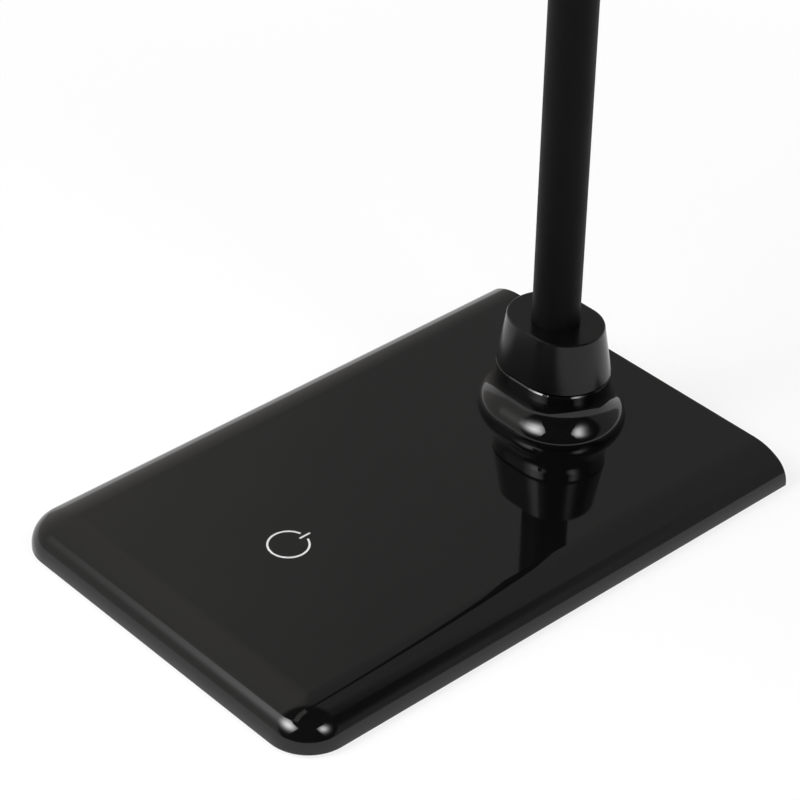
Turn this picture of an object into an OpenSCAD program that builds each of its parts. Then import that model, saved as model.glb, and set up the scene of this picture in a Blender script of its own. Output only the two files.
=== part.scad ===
// Gooseneck desk lamp: a weighted base with a rolled edge, a sleeved flexible neck
// and a slim panel head.  X runs across the lamp, the user sits on the -Y side and
// Z = 0 is the table.  All lengths are in millimetres.

/* [Base] */
// Width of the base between its two long sides
base_w = 143; // [135:1:155]
// Length of the base from its rounded front to its flat rear
base_l = 210; // [205:1:225]
// Height of the base cover above its lower edge
cover_h = 11.4; // [11.2:0.1:13]
// Width of the rolled edge, which is also the radius of the front corners
edge_w = 15; // [14:0.5:17]
// Radius at the outer end of the rolled edge
edge_r = 9; // [8:0.5:9]
// Wall of the two moulded covers
wall = 2; // [1.8:0.1:2.2]
// Thickness of the foam pad
pad_t = 1.6; // [1:0.1:2]
// Thickness of the plate that closes the base
plate_t = 2; // [1.8:0.1:2.2]
// Thickness of the steel ballast plate
ballast_t = 5.5; // [4:0.5:5.5]

/* [Neck boss and collars] */
// Distance of the neck axis from the middle of the base
neck_y = 65.6; // [64:0.2:68]
// Radius at each end of the long round boss, and of the foot of the lower collar
boss_r = 16; // [15.8:0.1:16.6]
// Half the length of the straight run between the two ends
boss_run = 4.4; // [0:0.2:5]
// Height of the boss above the base
boss_h = 17.4; // [17:0.2:18]
// Radius of the round foot of the boss
boss_foot_r = 7.6; // [7:0.2:8]
// Radius of the hollow flare above the foot of the boss
boss_flare_r = 12.2; // [11:0.2:12.6]
// Gap of the seam between a boss and its collar
seam = 0.4; // [0.3:0.1:0.6]
// Height of the lower collar
collar_h = 18.2; // [18:0.2:20]
// Radius at each end of the lower collar's top
collar_top_r = 13.2; // [13.1:0.1:14.4]

/* [Neck] */
// Radius of the soft sleeve
sleeve_r = 8; // [7.9:0.1:8.2]
// Wall of the soft sleeve
sleeve_t = 1.5; // [1.5:0.1:1.6]
// Spacing of the joints along the straight part
straight_pitch = 37; // [34:1:40]
// Radius of the bend
bend_r = 86; // [80:1:100]
// Radius of the power cable in the neck
cable_r = 1.8; // [1.4:0.1:1.8]

/* [Head] */
// Width of the head
head_w = 56; // [54:1:62]
// Length of the head panel
head_l = 190; // [186:1:200]
// Height of the head cover above its parting line
head_cover_h = 7; // [7:0.1:8]
// Depth of the head frame below the parting line
head_frame_h = 6; // [6:0.1:7]
// Width of the rolled edge of the head
head_edge_w = 8; // [7.5:0.5:8]
// Radius at the outer end of the rolled edge of the head
head_edge_r = 5; // [4:0.5:5]
// Radius of the boss at the rear of the head
head_boss_r = 12.8; // [12.6:0.1:13.4]

/* [Power inlet] */
// Height of the middle of the inlet above the table
jack_z = 6.7; // [6.7:0.1:7]
// Radius of the inlet's bore
jack_bore_r = 1.85; // [1.8:0.05:1.9]
// Radius of the inlet's middle pin
jack_pin_r = 0.65; // [0.5:0.05:0.7]
// Length of the inlet's middle pin
jack_pin_l = 7; // [6:0.5:7]

/* [Hidden] */
$fn = 96;

BLACK_GLOSS = "#222225";
BLACK_MATT = "#1a1a1b";
STEEL = "#a9abae";
BRASS = "#b89a5a";
GREEN = "#1f5b3a";
WHITE = "#f2f2ee";

cut = 1;                                  // how far a cutting shape runs past a face
gap = 0.1;                                // room between two pieces that are fitted together
lap = 0.3;                                // how far two parts of one solid run into each other
arc_split = 60;                           // angle at which the two arcs of a rolled edge meet

base_front = -base_l / 2;
base_rear = base_l / 2;
plate_top = pad_t + plate_t;
base_top = pad_t + cover_h;
base_ceiling = base_top - wall;
seam_z = base_top + boss_h;
boss_roof = 3;                            // thickness of the boss's top wall
boss_wall = 2.8;                          // thickness of the boss's side wall
collar_z = seam_z + seam;
collar_top = collar_z + collar_h;

screw_r = 1.5;
screw_head_r = 2.9;
screw_head_h = 1.4;
small_screw_r = 1;
post_r = 3.2;
// Fastening points of the cover and of the ballast plate
cover_posts = [for (x = [-55, 55], y = [-84, 8, 92]) [x, y]];
ballast_w = 98;
ballast_front = -96;
ballast_rear = 42;
ballast_holes = [for (x = [-38, 38], y = [-84, 30]) [x, y]];

touch_y = -49;                            // middle of the touch mark, which lies above the spring
touch_board_z = 6;
touch_board_size = [30, 20, 1.2];
touch_spring_r = 4.2;
wire_r = 0.35;                            // radius of the spring wire
driver_board_z = 5.6;
driver_board_size = [26, 40, 1.2];
driver_x = -36;
driver_y = 74;
driver_socket = [3.4, 8, 3];              // wire socket on the driver board
driver_socket_x = 9;
board_screw_inset = 3;
touch_posts = [for (side = [-1, 1]) [side * (touch_board_size[0] / 2 - board_screw_inset), touch_y]];
driver_posts = [for (side = [-1, 1])
    [driver_x, driver_y + side * (driver_board_size[1] / 2 - board_screw_inset)]];

jack_face = base_rear - 0.4;              // the inlet's face lies a little inside the rear wall
jack_floor = jack_face - 9;
jack_root_r = 0.4;

fitting_flange_t = 2;
nipple_r = 6.5;
nipple_l = 13;
nipple_bore_r = 2.6;
cup_r = 10.6;
cup_floor = 2;
cup_depth = 12.6;
cup_screw_z = fitting_flange_t + cup_floor + cup_depth / 2;
sleeve_foot = seam_z + fitting_flange_t + cup_floor + gap;
cable_foot = seam_z - nipple_l - 0.6;     // lower end of the cable in the neck
nut_h = 3.6;
washer_t = 0.8;

straight_joints = 6;                      // joints up to and with the start of the bend
bend_joints = 5;                          // joints after the start of the bend
last_joint = straight_joints + bend_joints;
bend_turn = 90;                           // the neck ends level
bend_step = bend_turn / bend_joints;
first_joint_z = 64;
link_r = sleeve_r - sleeve_t - 0.3;
link_bore_r = 3.6;
ball_r = 5.2;
socket_r = ball_r + 0.06;
skirt = 2.6;                              // how far a socket reaches past its ball's middle
shoulder = 5.2;                           // how far a link's full width stays below its ball
ball_neck_r = 3.4;
ball_bore_r = 2.4;
ball_crown = 3.8;

head_collar_y = -12;                      // rear end of the upper collar, from the last joint
head_collar_l = 16;
head_collar_r = 11.4;
head_boss_y = head_collar_y - head_collar_l - seam;
head_boss_l = 22;
head_boss_taper = 5;                      // length of the cone at the front of the boss
head_nipple_l = 12;
head_wall_y = 4.6;                        // thickness of the rear wall of the boss
upper_cup_r = 9.9;
upper_flange_r = 9.6;
upper_flange_t = 1.6;
upper_nut_h = 3;
head_rear = head_boss_y - 15.6;
head_front = head_rear - head_l;
head_mid = (head_front + head_rear) / 2;
sleeve_end = -head_boss_y;                // from the last joint to the end of the sleeve
parting_z = -0.5;                         // parting line of the head, from the neck axis
head_ceiling = parting_z + head_cover_h - wall;
frame_bottom = parting_z - head_frame_h;
bezel_t = 1.2;
bezel_w = 6;
diffuser_t = 1.8;
board_w = 40;
board_l = 166;
board_t = 1.6;
board_z = 0;                              // underside of the led board
spreader_t = 1;
led_rows = 2;
led_columns = 18;
led_size = [2.8, 3.5, 0.8];
led_pitch_y = 9;
led_pitch_x = 18;
head_posts = [for (x = [-16.5, 16.5], y = [-60, 60]) [x, head_mid + y]];

// --- path of the neck -------------------------------------------------------------

function turn_at(k) = bend_step * max(0, k - straight_joints);
function bend_y(turn) = neck_y - bend_r * (1 - cos(turn));
function straight_z(k) = first_joint_z + straight_pitch * (min(k, straight_joints) - 1);
function joint_at(k) = [0, bend_y(turn_at(k)), straight_z(k) + bend_r * sin(turn_at(k))];

// Frame of joint k: Z runs along the neck and Y to the outside of the bend
module at_joint(k) { translate(joint_at(k)) rotate([turn_at(k), 0, 0]) children(); }

// Frame of the head: its origin is the last joint and -Y runs along the head to its tip
module at_head() { translate(joint_at(last_joint)) children(); }

// Solid bar of radius r along the bend, from angle a to angle b of a joint's frame
module bend_bar(r, a, b) {
    translate([0, -bend_r, 0]) rotate([90, 0, 90]) rotate([0, 0, a])
        rotate_extrude(angle = b - a) translate([bend_r, 0]) circle(r);
}

// --- shared shapes ----------------------------------------------------------------

// Half section of a rolled edge: a wide arc of 30 degrees, then a tight one of 60
module edge_section(h, width, tight_r, inset, drop) {
    wide_r = 2 * width - tight_r;
    wide_c = [0, h - wide_r];
    tight_c = wide_c + (wide_r - tight_r) * [cos(arc_split), sin(arc_split)];
    ray = 3 * h * [cos(arc_split), sin(arc_split)];
    low = [0, -lap];
    translate([0, -drop]) square([width - inset, tight_c[1] + drop]);
    intersection() {
        translate(wide_c) circle(wide_r - inset);
        polygon([[0, tight_c[1]] + low, tight_c + low, tight_c, tight_c + ray, [0, tight_c[1] + ray[1]]]);
    }
    intersection() {
        translate(tight_c) circle(tight_r - inset);
        polygon([
            tight_c, tight_c + low, tight_c + [2 * ray[0], 0] + low,
            tight_c + 2 * ray, tight_c + ray
        ]);
    }
}

// Slab with rolled long sides and front and a flat rear.
// As a hollow it is inset by the wall and drops below the lower edge.
module rolled_slab(w, front, rear, h, width, tight_r, inset, drop) {
    corner_x = w / 2 - width;
    corner_y = front + width;
    end_y = rear - inset;
    translate([-corner_x, corner_y, -drop]) cube([2 * corner_x, end_y - corner_y, h - inset + drop]);
    for (side = [0, 1]) mirror([side, 0, 0]) {
        translate([corner_x, end_y, 0]) rotate([90, 0, 0])
            linear_extrude(end_y - corner_y) edge_section(h, width, tight_r, inset, drop);
        translate([corner_x, corner_y, 0]) rotate([0, 0, -90])
            rotate_extrude(angle = 90) edge_section(h, width, tight_r, inset, drop);
    }
    translate([corner_x, corner_y, 0]) rotate([90, 0, -90])
        linear_extrude(2 * corner_x) edge_section(h, width, tight_r, inset, drop);
}

// Plan of a slab with rounded front corners
module plan(w, front, rear, corner, inset) {
    x = w / 2 - corner;
    y = front + corner;
    translate([-w / 2 + inset, y]) square([w - 2 * inset, rear - inset - y]);
    translate([-x, front + inset]) square([2 * x, corner - inset]);
    for (side = [-1, 1]) translate([side * x, y]) circle(corner - inset);
}

module base_plan(inset) { plan(base_w, base_front, base_rear, edge_w, inset); }

module head_plan(inset) { plan(head_w, head_front, head_rear, head_edge_w, inset); }

// Countersunk screw that points up, with its head's flat face at Z = 0
module countersunk_screw(length) {
    cylinder(h = screw_head_h, r1 = screw_head_r, r2 = screw_r);
    cylinder(h = length, r = screw_r);
    translate([0, 0, length]) cylinder(h = 0.8, r1 = screw_r, r2 = 0.5);
}

module driver_recess() { translate([0, 0, -cut]) cylinder(h = cut + 0.8, r = 1.2, $fn = 6); }

module countersunk_hole() {
    translate([0, 0, -cut]) cylinder(h = cut + 0.02, r = screw_head_r + 0.05);
    cylinder(h = screw_head_h + 0.02, r1 = screw_head_r + 0.05, r2 = screw_r + gap);
    cylinder(h = 20, r = screw_r + gap);
}

// Wire of radius r through a list of points
module wire(points, r) {
    for (i = [0 : len(points) - 2]) hull() {
        translate(points[i]) sphere(r, $fn = 8);
        translate(points[i + 1]) sphere(r, $fn = 8);
    }
}

// Turned form drawn apart along X: two half turns of a half section, with a straight run between
module long_round(run) {
    if (run == 0) rotate_extrude() children();
    else {
        for (side = [-1, 1]) translate([side * run, 0, 0]) rotate([0, 0, -90 * side])
            rotate_extrude(angle = 180) children();
        translate([-run, 0, 0]) rotate([90, 0, 90]) linear_extrude(2 * run) {
            children();
            mirror([1, 0]) children();
        }
    }
}

// Tapered collar with a flat top, eased edges and a bore for the sleeve
module tapered_collar(r0, r1, h, roof, grip_r, grip_h, run = 0) {
    ease = 0.5;
    difference() {
        long_round(run) polygon([
            [0, 0], [r0 - ease, 0], [r0, ease], [r1 + 0.03, h - ease],
            [r1 - 0.15, h - 0.15], [r1 - ease, h], [0, h]
        ]);
        translate([0, 0, -cut]) long_round(run) square([grip_r, grip_h + cut + 0.01]);
        translate([0, 0, grip_h]) long_round(run) square([r1 - wall, h - roof - grip_h]);
        translate([0, 0, -cut]) cylinder(h = h + 2 * cut, r = sleeve_r + 0.15);
    }
}

// Steel end of the neck: a threaded nipple, a flange and a cup for the sleeve
module neck_fitting(flange_r, cup_outer_r, nipple) {
    thread_pitch = 1.5;
    difference() {
        union() {
            translate([0, 0, -nipple]) rotate_extrude() polygon(concat(
                [[0, 0], [nipple_r - 0.6, 0]],
                [for (i = [0 : floor(nipple / thread_pitch) - 2], s = [0, 1])
                    [nipple_r - 0.5 * (1 - s), 0.6 + thread_pitch * (i + s / 2)]],
                [[nipple_r - 0.5, nipple], [0, nipple]]
            ));
            cylinder(h = fitting_flange_t, r = flange_r);
            cylinder(h = fitting_flange_t + cup_floor + cup_depth, r = cup_outer_r);
        }
        translate([0, 0, -nipple - cut])
            cylinder(h = nipple + fitting_flange_t + 20, r = nipple_bore_r);
        translate([0, 0, fitting_flange_t + cup_floor])
            cylinder(h = cup_depth + cut, r = sleeve_r + gap);
        for (a = [0, 120, 240]) rotate([0, 0, a]) translate([0, 0, cup_screw_z]) rotate([0, 90, 0])
            cylinder(h = 20, r = screw_r + 0.02);
    }
}

// Three headless screws that hold the sleeve in its cup
module grub_screws(cup_outer_r) {
    for (a = [0, 120, 240]) rotate([0, 0, a]) translate([sleeve_r + 0.05, 0, cup_screw_z])
        rotate([0, 90, 0]) difference() {
            cylinder(h = cup_outer_r - sleeve_r - 0.25, r = screw_r);
            translate([0, 0, cup_outer_r - sleeve_r - 1.2]) cylinder(h = 2, r = 0.8, $fn = 6);
        }
}

module hex_nut(height, r) {
    difference() {
        cylinder(h = height, r = r, $fn = 6);
        translate([0, 0, -cut]) cylinder(h = height + 2 * cut, r = nipple_r + 0.02);
    }
}

module washer(r) {
    difference() {
        cylinder(h = washer_t, r = r);
        translate([0, 0, -cut]) cylinder(h = washer_t + 2 * cut, r = nipple_r + 0.2);
    }
}

// --- base -------------------------------------------------------------------------

module foam_pad() color("#101010") linear_extrude(pad_t) base_plan(3);

module board_posts(points, top) {
    for (p = points) translate([p[0], p[1], plate_top - 0.2]) cylinder(h = top - plate_top + 0.2, r = 2.2);
}

module board_pilots(points) {
    for (p = points) translate([p[0], p[1], plate_top + gap]) cylinder(h = 20, r = small_screw_r + 0.02);
}

module base_plate() color(BLACK_MATT) difference() {
    union() {
        translate([0, 0, pad_t]) linear_extrude(plate_t) base_plan(wall + 3 * gap);
        board_posts(touch_posts, touch_board_z);
        board_posts(driver_posts, driver_board_z);
    }
    for (p = concat(cover_posts, ballast_holes)) translate([p[0], p[1], pad_t]) countersunk_hole();
    board_pilots(concat(touch_posts, driver_posts));
}

// Half of the boss's section: a straight neck, a hollow flare and a round foot
module boss_section() {
    slope = 45;                           // where flare and foot meet
    ease = 0.4;
    arcs_r = boss_foot_r + boss_flare_r;
    foot_mid = boss_r + arcs_r * (1 - cos(slope)) - boss_foot_r;
    meet = [foot_mid + boss_foot_r * cos(slope), boss_foot_r * sin(slope)];
    flare_z = arcs_r * sin(slope);
    polygon([
        [0, -lap], [boss_r, -lap], [boss_r, boss_h - ease], [boss_r - ease, boss_h], [0, boss_h]
    ]);
    difference() {
        polygon([[0, -lap], [meet[0], -lap], meet, [boss_r, flare_z], [0, flare_z]]);
        translate([boss_r + boss_flare_r, flare_z]) circle(boss_flare_r);
    }
    intersection() {
        translate([foot_mid, 0]) circle(boss_foot_r);
        translate([0, -lap]) square([foot_mid + boss_foot_r + 1, meet[1] + lap]);
    }
}

// Boss that carries the neck
module neck_boss() { translate([0, neck_y, base_top]) long_round(boss_run) boss_section(); }

module base_slab(inset, drop) {
    translate([0, 0, pad_t])
        rolled_slab(base_w, base_front, base_rear, cover_h, edge_w, edge_r, inset, drop);
}

module base_cover() color(BLACK_GLOSS) {
    difference() {
        union() {
            base_slab(0, 0);
            neck_boss();
        }
        base_slab(wall, cut);
        translate([0, neck_y, plate_top])
            long_round(boss_run) square([boss_r - boss_wall, seam_z - boss_roof - plate_top]);
        translate([0, neck_y, 0]) cylinder(h = seam_z + cut, r = nipple_r + gap);
        translate([0, base_rear - wall - cut, jack_z]) rotate([-90, 0, 0])
            cylinder(h = wall + 2 * cut, r = 3);
    }
    for (p = cover_posts) translate([p[0], p[1], plate_top]) difference() {
        cylinder(h = base_ceiling - plate_top, r = post_r);
        translate([0, 0, -cut]) cylinder(h = 6 + cut, r = screw_r + 0.02);
    }
}

module ballast_plate() color(STEEL) difference() {
    translate([-ballast_w / 2, ballast_front, plate_top])
        cube([ballast_w, ballast_rear - ballast_front, ballast_t]);
    translate([-18, touch_y - 13, plate_top - cut]) cube([36, 26, ballast_t + 2 * cut]);
    for (p = ballast_holes) translate([p[0], p[1], plate_top - cut])
        cylinder(h = ballast_t + 2 * cut, r = screw_r + 0.02);
    // The front corners are cut off so that the plate clears the rolled edge
    for (side = [-1, 1]) translate([side * ballast_w / 2, ballast_front, plate_top - cut])
        rotate([0, 0, 45]) translate([-6, -6, 0]) cube([12, 12, ballast_t + 2 * cut]);
}

module ballast_screws() color(STEEL) for (p = ballast_holes) translate([p[0], p[1], pad_t])
    difference() {
        countersunk_screw(6);
        driver_recess();
    }

module cover_screws() color(STEEL) for (p = cover_posts) translate([p[0], p[1], pad_t])
    difference() {
        countersunk_screw(6.6);
        driver_recess();
    }

module touch_board() color(GREEN) translate([0, touch_y, touch_board_z]) difference() {
    union() {
        translate([-touch_board_size[0] / 2, -touch_board_size[1] / 2, 0]) cube(touch_board_size);
        translate([-9, -2.5, touch_board_size[2]]) cube([3, 5, 1.2]);
        translate([6.5, -6, touch_board_size[2]]) cube([2, 3.2, 1]);
        translate([6.5, 3, touch_board_size[2]]) cube([2, 3.2, 1]);
    }
    for (p = touch_posts) translate([p[0], 0, -cut]) cylinder(h = 4, r = small_screw_r + gap);
}

// Coil spring between the touch board and the underside of the cover
module touch_spring() color(STEEL) {
    floor_z = touch_board_z + touch_board_size[2];
    height = base_ceiling - floor_z;
    turns = 3;
    translate([0, touch_y, floor_z]) {
        for (z = [wire_r, height - wire_r]) translate([0, 0, z])
            rotate_extrude($fn = 32) translate([touch_spring_r - wire_r, 0]) circle(wire_r, $fn = 8);
        translate([0, 0, wire_r])
            linear_extrude(height - 2 * wire_r, twist = -360 * turns, slices = 20 * turns, $fn = 8)
                translate([touch_spring_r - wire_r, 0]) scale([0.9, 2]) circle(wire_r);
    }
}

module driver_board() color(GREEN) difference() {
    translate([driver_x - driver_board_size[0] / 2, driver_y - driver_board_size[1] / 2, driver_board_z])
        cube(driver_board_size);
    for (p = driver_posts) translate([p[0], p[1], driver_board_z - cut])
        cylinder(h = 4, r = small_screw_r + gap);
}

module driver_parts() color("#2b2b2b")
    translate([driver_x, driver_y, driver_board_z + driver_board_size[2]]) {
        translate([-10, -9, 0]) cube([7.3, 7.3, 3.4]);
        translate([-8, 5, 0]) cylinder(h = 3.8, r = 2.5);
        translate([-1, 4, 0]) cube([6, 5, 1.6]);
        translate([3, -9, 0]) cube([4, 2.2, 1.2]);
        for (y = [6, -6 - driver_socket[1]]) translate([driver_socket_x, y, 0]) cube(driver_socket);
    }

module board_screws() color(STEEL) for (spot = [for (p = touch_posts) [p[0], p[1], touch_board_z],
                                                for (p = driver_posts) [p[0], p[1], driver_board_z]])
    translate([spot[0], spot[1], spot[2] + touch_board_size[2]]) {
        cylinder(h = 1, r = 1.8);
        translate([0, 0, 0.2 - 3.2]) cylinder(h = 3.2, r = small_screw_r);
    }

module dc_jack() color("#151515") {
    body_l = 9.2;
    difference() {
        union() {
            translate([-3.2, base_rear - wall - body_l - gap, jack_z - 3.1]) cube([6.4, body_l, 6.2]);
            translate([0, base_rear - wall - 0.5, jack_z]) rotate([-90, 0, 0])
                cylinder(h = jack_face - base_rear + wall + 0.5, r = 2.9);
        }
        translate([0, jack_floor, jack_z]) rotate([-90, 0, 0]) cylinder(h = 12, r = jack_bore_r);
        translate([0, jack_floor - 11, jack_z]) rotate([-90, 0, 0])
            cylinder(h = 14, r = jack_root_r + 0.02);
    }
}

// Middle pin of the inlet, on a thinner root that is held in the inlet's body
module jack_pin() color(BRASS) translate([0, jack_floor, jack_z]) rotate([-90, 0, 0]) {
    step = 0.3;
    tip = 0.4;
    translate([0, 0, -3]) cylinder(h = 3 + step, r = jack_root_r);
    translate([0, 0, step]) cylinder(h = jack_pin_l - step - tip, r = jack_pin_r);
    translate([0, 0, jack_pin_l - tip]) cylinder(h = tip, r1 = jack_pin_r, r2 = jack_pin_r - 0.25);
}

// Wires inside the base, each one held between the plate and the cover
module base_wiring() {
    lead_z = driver_board_z + driver_board_size[2] + 2;
    socket_face = driver_x + driver_socket_x + driver_socket[0] + gap;
    lamp_lead_r = 1.2;
    inlet_lead_r = 0.8;
    // Hand-placed route of the lead from the neck to the driver board
    color("#181818") wire([
        [0, neck_y, cable_foot - lamp_lead_r - gap], [0, neck_y, 10.4], [-3, neck_y - 2, 8.6],
        [-18, 66, lead_z], [socket_face + lamp_lead_r, 64, lead_z]
    ], lamp_lead_r);
    // Hand-placed route of the lead from the inlet to the driver board
    color("#7a1d1d") wire([
        [-1.6, 91.6, jack_z], [-6, 88, 8], [-18, 84, lead_z], [socket_face + inlet_lead_r, 84, lead_z]
    ], inlet_lead_r);
    // Hand-placed route of the touch lead, over the ballast plate
    color("#d9d9d4") wire([
        [-36, 53.2, 6.4], [-34, 48, 8.4], [-30, 43.5, 10.1], [-12, -20, 10.1], [-11, -37, 10.1],
        [-10.6, -40.4, 8.8]
    ], 0.7);
}

// --- foot of the neck -------------------------------------------------------------

module at_foot() { translate([0, neck_y, seam_z]) children(); }

module lower_fitting() color(STEEL) at_foot() neck_fitting(14, cup_r, nipple_l);

module lower_washer() color(STEEL) at_foot() translate([0, 0, -boss_roof - washer_t]) washer(12.5);

module lower_nut() color(BRASS) at_foot()
    translate([0, 0, -boss_roof - washer_t - nut_h]) hex_nut(nut_h, 10.4);

module lower_grub_screws() color("#33343a") at_foot() grub_screws(cup_r);

module lower_collar() color(BLACK_GLOSS) translate([0, neck_y, collar_z])
    tapered_collar(boss_r, collar_top_r, collar_h, 2, 14 + gap, 3, boss_run);

// --- neck -------------------------------------------------------------------------

// Socket end of a link, with its ball's middle at the origin
module socket_bulk() { translate([0, 0, -skirt]) cylinder(h = skirt, r = link_r); }

module socket_hollow() {
    sphere(socket_r);
    cylinder(h = socket_r + 3, r = link_bore_r);
}

// Ball end of a link, with the ball's middle at the origin
module ball_bulk() {
    intersection() {
        sphere(ball_r);
        translate([0, 0, -ball_r]) cylinder(h = ball_r + ball_crown, r = ball_r + 1);
    }
    translate([0, 0, -shoulder - 1]) cylinder(h = shoulder + 1, r = ball_neck_r);
}

module ball_hollow() {
    translate([0, 0, -shoulder - 4]) cylinder(h = 20, r = ball_bore_r);
    translate([0, 0, 1.4]) cylinder(h = 3, r1 = ball_bore_r, r2 = ball_bore_r + 1);
}

// Link k joins joint k to joint k + 1
module neck_link(k) {
    on_bend = k >= straight_joints;
    inset_angle = shoulder / bend_r * 180 / PI;
    color(STEEL) difference() {
        union() {
            at_joint(k) socket_bulk();
            at_joint(k + 1) ball_bulk();
            if (on_bend) at_joint(k) bend_bar(link_r, 0, bend_step - inset_angle);
            else at_joint(k) cylinder(h = straight_pitch - shoulder, r = link_r);
        }
        at_joint(k) socket_hollow();
        at_joint(k + 1) ball_hollow();
        if (on_bend) at_joint(k) bend_bar(link_bore_r, inset_angle, bend_step - 1.6 * inset_angle);
        else at_joint(k) translate([0, 0, shoulder])
            cylinder(h = straight_pitch - 2.6 * shoulder, r = link_bore_r);
    }
}

// The first link stands in the lower cup
module neck_root() {
    foot_z = seam_z + fitting_flange_t + cup_floor + gap;
    color(STEEL) difference() {
        union() {
            translate([0, neck_y, foot_z]) cylinder(h = first_joint_z - shoulder - foot_z, r = link_r);
            at_joint(1) ball_bulk();
        }
        translate([0, neck_y, foot_z - cut])
            cylinder(h = first_joint_z - 1.6 * shoulder - foot_z + cut, r = link_bore_r);
        at_joint(1) ball_hollow();
    }
}

// The last link ends in the upper cup
module neck_tip() {
    color(STEEL) at_joint(last_joint) difference() {
        translate([0, 0, -skirt]) cylinder(h = sleeve_end - gap + skirt, r = link_r);
        socket_hollow();
        translate([0, 0, shoulder]) cylinder(h = sleeve_end, r = link_bore_r);
    }
}

module sleeve_tube(h) {
    difference() {
        cylinder(h = h, r = sleeve_r);
        translate([0, 0, -cut]) cylinder(h = h + 2 * cut, r = sleeve_r - sleeve_t);
    }
}

module neck_sleeve() color(BLACK_MATT) {
    translate([0, neck_y, sleeve_foot]) sleeve_tube(straight_z(straight_joints) - sleeve_foot);
    at_joint(straight_joints) difference() {
        bend_bar(sleeve_r, 0, bend_turn);
        bend_bar(sleeve_r - sleeve_t, 0, bend_turn);
    }
    at_joint(last_joint) sleeve_tube(sleeve_end - gap);
}

module neck_cable() {
    color("#2a2a2c") {
        translate([0, neck_y, cable_foot])
            cylinder(h = straight_z(straight_joints) - cable_foot, r = cable_r);
        at_joint(straight_joints) bend_bar(cable_r, 0, bend_turn);
        at_joint(last_joint) cylinder(h = -head_boss_y + head_nipple_l + 1.2, r = cable_r);
    }
}

// --- head -------------------------------------------------------------------------

// Frame of the upper fitting: Z runs back towards the neck
module at_head_foot() { at_head() translate([0, head_boss_y, 0]) rotate([-90, 0, 0]) children(); }

module upper_fitting() color(STEEL) at_head_foot() difference() {
    union() {
        translate([0, 0, -head_nipple_l]) cylinder(h = head_nipple_l, r = nipple_r);
        translate([0, 0, -upper_flange_t]) cylinder(h = upper_flange_t, r = upper_flange_r);
        cylinder(h = head_collar_l - 2.2, r = upper_cup_r);
    }
    translate([0, 0, -head_nipple_l - cut]) cylinder(h = 60, r = nipple_bore_r);
    cylinder(h = head_collar_l, r = sleeve_r + gap);
    for (a = [0, 120, 240]) rotate([0, 0, a]) translate([0, 0, head_collar_l / 2]) rotate([0, 90, 0])
        cylinder(h = 20, r = screw_r + 0.02);
}

module upper_washer() color(STEEL) at_head_foot() translate([0, 0, -head_wall_y - washer_t]) washer(9.4);

module upper_nut() color(BRASS) at_head_foot()
    translate([0, 0, -head_wall_y - washer_t - upper_nut_h]) hex_nut(upper_nut_h, 9.4);

module upper_grub_screws() color("#33343a") at_head_foot() for (a = [0, 120, 240]) rotate([0, 0, a])
    translate([sleeve_r + 0.05, 0, head_collar_l / 2]) rotate([0, 90, 0]) difference() {
        cylinder(h = upper_cup_r - sleeve_r - 0.2, r = screw_r);
        translate([0, 0, upper_cup_r - sleeve_r - 1]) cylinder(h = 2, r = 0.8, $fn = 6);
    }

module upper_collar() color(BLACK_GLOSS) at_head_foot() translate([0, 0, seam])
    tapered_collar(head_boss_r, head_collar_r, head_collar_l, 1.6, upper_cup_r + gap, 14);

module head_slab(inset, drop) {
    translate([0, 0, parting_z]) rolled_slab(
        head_w, head_front, head_rear, head_cover_h, head_edge_w, head_edge_r, inset, drop
    );
}

module head_cover() color(BLACK_GLOSS) at_head() {
    difference() {
        union() {
            head_slab(0, 0);
            translate([0, head_boss_y, 0]) rotate([90, 0, 0]) rotate_extrude() polygon([
                [0, 0], [head_boss_r - 0.4, 0], [head_boss_r, 0.4],
                [head_boss_r, head_boss_l - head_boss_taper],
                [head_boss_r - head_boss_taper, head_boss_l], [0, head_boss_l]
            ]);
        }
        head_slab(wall, cut);
        // Pocket for the nut and the bores of the boss
        translate([0, head_boss_y - head_wall_y, 0]) rotate([90, 0, 0])
            cylinder(h = head_boss_l - head_boss_taper - head_wall_y, r = 10);
        translate([0, head_boss_y - head_boss_l + head_boss_taper + 0.01, 0]) rotate([90, 0, 0])
            cylinder(h = head_boss_taper - wall, r1 = 10, r2 = 6);
        translate([0, head_boss_y + cut, 0]) rotate([90, 0, 0])
            cylinder(h = upper_flange_t + cut, r = upper_flange_r + gap);
        translate([0, head_boss_y, 0]) rotate([90, 0, 0]) cylinder(h = 10, r = nipple_r + gap);
    }
    for (p = head_posts) translate([p[0], p[1], board_z + board_t + spreader_t]) difference() {
        cylinder(h = head_ceiling - board_z - board_t - spreader_t, r = 2.6);
        translate([0, 0, -cut]) cylinder(h = 1.6 + cut, r = small_screw_r + 0.02);
    }
}

module head_frame() color(BLACK_MATT) at_head() difference() {
    union() {
        translate([0, 0, frame_bottom]) linear_extrude(head_frame_h) head_plan(0);
        translate([0, 0, parting_z]) linear_extrude(1.4) head_plan(wall + gap);
    }
    translate([0, 0, frame_bottom + bezel_t]) linear_extrude(20) head_plan(wall + gap + 1.2);
    translate([0, 0, frame_bottom - cut]) linear_extrude(20) head_plan(bezel_w);
    // Clearance around the boss of the cover
    translate([0, head_boss_y, 0]) rotate([90, 0, 0])
        cylinder(h = head_boss_l + 0.3, r = head_boss_r + gap);
}

module diffuser() color(WHITE) at_head() difference() {
    translate([0, 0, frame_bottom + bezel_t]) linear_extrude(diffuser_t) head_plan(wall + gap + 1.4);
    translate([0, head_boss_y, 0]) rotate([90, 0, 0])
        cylinder(h = head_boss_l + 0.5, r = head_boss_r + 0.3);
}

module led_spots() {
    for (row = [0 : led_rows - 1], column = [0 : led_columns - 1])
        translate([
            led_pitch_x * (row - (led_rows - 1) / 2),
            head_mid + led_pitch_y * (column - (led_columns - 1) / 2), 0
        ]) children();
}

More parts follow.
